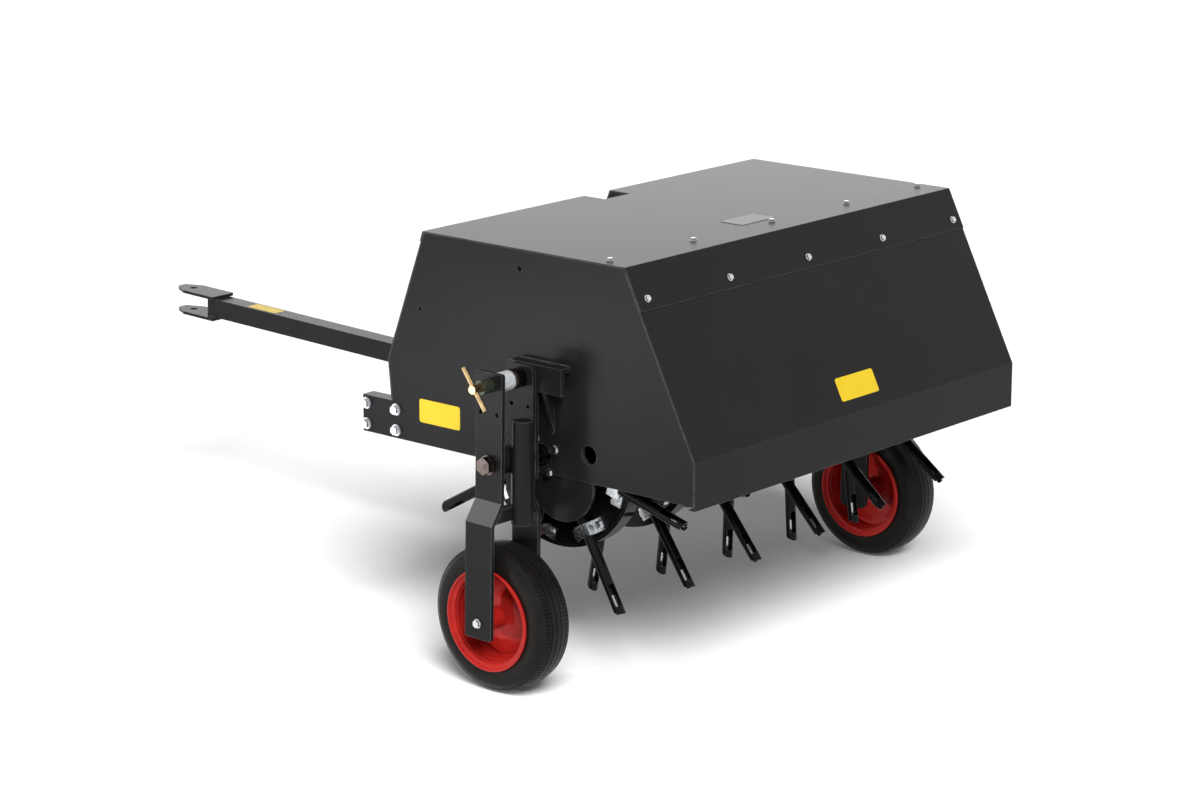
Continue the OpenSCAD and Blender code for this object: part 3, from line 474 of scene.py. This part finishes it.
for sideName, side in (("left", -1), ("right", 1)):
    middle = boxMiddle(sideName + "_tyre")
    relief = tyreRelief(tyreSetup)
    points, faces = lathe([tyreLoop(tyreSetup)], tyreSetup["steps"], middle, side, relief)
    tyre = addPiece(sideName + "TreadTyre", points, faces, "tyre", sideName + "_wheel")
    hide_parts(sideName + "_tyre")
    points, faces = lathe(rimLoops(rimSetup), rimSetup["steps"], middle, side)
    rim = addPiece(sideName + "PressedRim", points, faces, "red_paint", sideName + "_wheel")
    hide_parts(sideName + "_rim")
print("wheels made")

# swept tubes: springs and weld beads


def sweep(path, closed, sides, radiusAt):
    # a tube along path, whose radius at point i is radiusAt(i)
    points, faces = [], []
    count = len(path)
    for i, here in enumerate(path):
        if closed:
            ahead = path[(i + 1) % count] - path[i - 1]
        else:
            ahead = path[min(i + 1, count - 1)] - path[max(i - 1, 0)]
        ahead.normalize()
        across = ahead.orthogonal() if abs(ahead.x) > 0.9 else ahead.cross(Vector((1, 0, 0)))
        across.normalize()
        up = ahead.cross(across)
        for k in range(sides):
            turn = 2 * math.pi * k / sides
            points.append(here + (across * math.cos(turn) + up * math.sin(turn)) * radiusAt(i))
    for i in range(count if closed else count - 1):
        j = (i + 1) % count
        for k in range(sides):
            m = (k + 1) % sides
            faces.append((i * sides + k, i * sides + m, j * sides + m, j * sides + k))
    if not closed:
        faces += [tuple(range(sides)), tuple(range((count - 1) * sides, count * sides))]
    return points, faces


springSetup = {"turns": 5, "wire": 0.0019, "gap": 0.0002, "steps": 28, "sides": 8}


def addSpring(sideName, setup):
    low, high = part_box(sideName + "_plunger_spring")
    middle = (low + high) / 2
    radius = (high.y - low.y) / 2 - setup["wire"] - setup["gap"]
    length = high.x - low.x - 2 * setup["wire"]
    count = setup["turns"] * setup["steps"]
    path = []
    for i in range(count + 1):
        turn = 2 * math.pi * setup["turns"] * i / count
        along = length * (i / count - 0.5)
        path.append(middle + Vector((along, radius * math.cos(turn), radius * math.sin(turn))))
    points, faces = sweep(path, False, setup["sides"], lambda i: setup["wire"])
    spring = addPiece(sideName + "CoilSpring", points, faces, "shaft_steel", sideName + "_arm")
    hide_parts(sideName + "_plunger_spring")


for sideName in ("left", "right"):
    addSpring(sideName, springSetup)
print("springs made")

weldSetup = {"radius": 0.0026, "ripple": 0.0006, "pitch": 0.0042, "perPitch": 4, "sides": 8}
weldPlaces = {
    "tubeInset": 0.0012,  # from the pivot tube's ends
    "sideWall": 0.6,  # outer face of the side plates
    "bracketGap": 0.004,  # from the bracket's corners
    "earGap": 0.006,
    "clevis": (1158, 1186),  # along the bar, in millimetres
    "barHalf": 25,
}
barTilt = 1.7


def weldBead(name, corners, body, closed=False, setup=weldSetup):
    # a rippled bead along straight lines between corners
    step = setup["pitch"] / setup["perPitch"]
    path = []
    last = len(corners) if closed else len(corners) - 1
    for i in range(last):
        a, b = corners[i], corners[(i + 1) % len(corners)]
        parts = max(1, round((b - a).length / step))
        path += [a.lerp(b, k / parts) for k in range(parts)]
    if not closed:
        path.append(corners[-1])

    def radiusAt(i):
        end = 1 if closed else min(1, (min(i, len(path) - 1 - i) + 1) / 4)
        return (setup["radius"] + setup["ripple"] * math.sin(2 * math.pi * i / setup["perPitch"])) * end

    points, faces = sweep(path, closed, setup["sides"], radiusAt)
    return addPiece(name, points, faces, "black_paint", body)


def ring(centre, radius, count=72):
    turns = [2 * math.pi * i / count for i in range(count)]
    return [centre + Vector((0, radius * math.cos(turn), radius * math.sin(turn))) for turn in turns]


for sideName, side in (("left", -1), ("right", 1)):
    low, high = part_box(sideName + "_pivot_tube")
    middle = (low + high) / 2
    tubeRadius = (high.z - low.z) / 2
    inset = weldPlaces["tubeInset"]
    for tag, x in (("A", low.x + inset), ("B", high.x - inset)):
        circle = ring(Vector((x, middle.y, middle.z)), tubeRadius)
        weldBead(sideName + "PivotWeld" + tag, circle, sideName + "_arm", True)
    low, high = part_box(sideName + "_wheel_bracket")
    wall, gap = side * weldPlaces["sideWall"], weldPlaces["bracketGap"]
    weldBead(sideName + "BracketWeldFront",
             [Vector((wall, high.y, low.z + gap)), Vector((wall, high.y, high.z - gap))], "frame")
    weldBead(sideName + "BracketWeldTop",
             [Vector((wall, low.y + gap, high.z)), Vector((wall, high.y - gap, high.z))], "frame")
low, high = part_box("fold_sleeve")
pivot = (low + high) / 2
tilt = math.radians(barTilt)


def onBar(x, y, z):
    # a point given in millimetres along the drawbar
    cosTilt, sinTilt = math.cos(tilt), math.sin(tilt)
    return pivot + Vector((x, y * cosTilt - z * sinTilt, y * sinTilt + z * cosTilt)) / 1000


barHalf = weldPlaces["barHalf"]
for tag, x in (("L", -barHalf), ("R", barHalf)):
    for level, z in (("Upper", barHalf), ("Lower", -barHalf)):
        weldBead("clevisWeld" + level + tag, [onBar(x, y, z) for y in weldPlaces["clevis"]], "drawbar")
low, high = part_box("tongue_ears")
beamLow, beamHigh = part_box("front_beam")
earLow, earHigh = beamLow.z + weldPlaces["earGap"], beamHigh.z - weldPlaces["earGap"]
for tag, x in (("L", low.x), ("R", high.x)):
    weldBead("earWeld" + tag, [Vector((x, beamHigh.y, z)) for z in (earLow, earHigh)], "frame")
print("welds made")

# threads and a collar round the plunger sleeves, millimetres inward from the outer leg

sleeveSetup = {"threadFrom": 0.8, "threadTo": 54, "pitch": 2.6, "root": 0.4, "crest": 1.1, "collarFrom": 56,
               "collarTo": 89.2, "collarHeight": 0.9, "chamferHeight": 0.4, "chamferLength": 0.6, "lift": 0.05,
               "steps": 72}


def threadLoop(radius, setup):
    loop = [(radius + setup["lift"], -setup["threadFrom"])]
    for i in range(int((setup["threadTo"] - setup["threadFrom"]) / setup["pitch"])):
        x = -setup["threadFrom"] - i * setup["pitch"]
        for share, height in ((0, "root"), (0.35, "crest"), (0.65, "crest"), (0.98, "root")):
            loop.append((radius + setup[height], x - share * setup["pitch"]))
    return loop + [(radius + setup["lift"], loop[-1][1])]


def collarLoop(radius, setup):
    start, end = -setup["collarFrom"], -setup["collarTo"]
    base, top = radius + setup["lift"], radius + setup["collarHeight"]
    low, cut = top - setup["chamferHeight"], setup["chamferLength"]
    return [(base, start), (low, start), (top, start - cut), (top, end + cut), (low, end), (base, end)]


for sideName, side in (("left", -1), ("right", 1)):
    low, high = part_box(sideName + "_plunger_sleeve")
    end = (low + high) / 2
    end.x = high.x if side > 0 else low.x
    radius = (high.z - low.z) * 500
    points, faces = lathe([threadLoop(radius, sleeveSetup)], sleeveSetup["steps"], end, side)
    # the thread takes the zinc with the painted sheen
    addPiece(sideName + "SleeveThread", points, faces, "zinc", sideName + "_arm", "zincPaintedSheen")
    points, faces = lathe([collarLoop(radius, sleeveSetup)], sleeveSetup["steps"], end, side)
    addPiece(sideName + "SleeveCollar", points, faces, "bronze_zinc", sideName + "_arm")
print("sleeves made")

# bare bright steel inside the hollow tine tips

tineSetup = {"firstX": -0.525, "pitch": 0.21, "discs": 6, "tines": 8, "phase": 29.6, "stagger": 4.7,
             "sideStep": -0.0325, "tip": 0.391, "length": 0.046, "outer": 0.0084, "inner": 0.0081,
             "middle": 65, "arc": 120, "parts": 10}


def addTineLiners(setup):
    axis = boxMiddle("rotor_shaft")
    points, faces = [], []
    count = setup["parts"] + 1
    for disc in range(setup["discs"]):
        for k in range(setup["tines"]):
            turn = -math.radians(setup["phase"] + disc * setup["stagger"] + k * 360 / setup["tines"])
            x = setup["firstX"] + disc * setup["pitch"] + setup["sideStep"]
            place = Matrix.Translation((x, axis.y, axis.z)) @ Matrix.Rotation(turn, 4, "X")
            start = len(points)
            for z in (-setup["tip"], -setup["tip"] + setup["length"]):
                for r in (setup["outer"], setup["inner"]):
                    for i in range(count):
                        a = math.radians(setup["middle"] + setup["arc"] * (i / setup["parts"] - 0.5))
                        points.append(place @ Vector((r * math.cos(a), r * math.sin(a), z)))
            for i in range(setup["parts"]):
                a, b, c, d = (start + n * count + i for n in range(4))
                faces += [(a, a + 1, c + 1, c), (b, b + 1, d + 1, d)]
                faces += [(a, a + 1, b + 1, b), (c, c + 1, d + 1, d)]
            for i in (0, setup["parts"]):
                a, b, c, d = (start + n * count + i for n in range(4))
                faces.append((a, b, d, c))
    addPiece("tineLiners", points, faces, "shaft_steel", "reel", "tipSteel")


addTineLiners(tineSetup)
print("tine liners made")

# plain yellow patches with no marks, laid on the sheet metal

patchSetup = {"corner": 0.006, "thick": 0.0003, "lift": 0.00005}
slopeUp = Vector((0, 0.2, 0.4)).normalized()
barAlong = onBar(0, 1, 0) - onBar(0, 0, 0)
patchPlaces = {
    # name: body, lower left corner, side along, side up
    "sidePatch": ("frame", Vector((-0.6, -0.324, 0.539)), Vector((0, -0.126, 0)), Vector((0, 0, 0.055))),
    "rearPatch": ("frame", Vector((-0.058, -1.12046, 0.61327)), Vector((0.14, 0, 0)), slopeUp * 0.055),
    "barPatch": ("drawbar", onBar(-19, 937, 25), Vector((0.038, 0, 0)), barAlong * 105),
}


def addPatch(name, body, corner, along, up, setup):
    # a thin film with rounded corners
    out = along.cross(up).normalized()
    wide, high, r = along.length, up.length, setup["corner"]
    u, v = along.normalized(), up.normalized()
    outline = []
    for a, b, first in ((wide - r, high - r, 0), (r, high - r, 90), (r, r, 180), (wide - r, r, 270)):
        for i in range(7):
            turn = math.radians(first + 15 * i)
            outline.append(u * (a + r * math.cos(turn)) + v * (b + r * math.sin(turn)))
    count = len(outline)
    points = [corner + p + out * h for h in (setup["lift"], setup["lift"] + setup["thick"]) for p in outline]
    faces = [tuple(range(count)), tuple(range(count, 2 * count))]
    faces += [(i, (i + 1) % count, count + (i + 1) % count, count + i) for i in range(count)]
    addPiece(name, points, faces, "black_paint", body, "yellowFilm", False)


for name, (body, corner, along, up) in patchPlaces.items():
    addPatch(name, body, corner, along, up, patchSetup)
print("patches made")
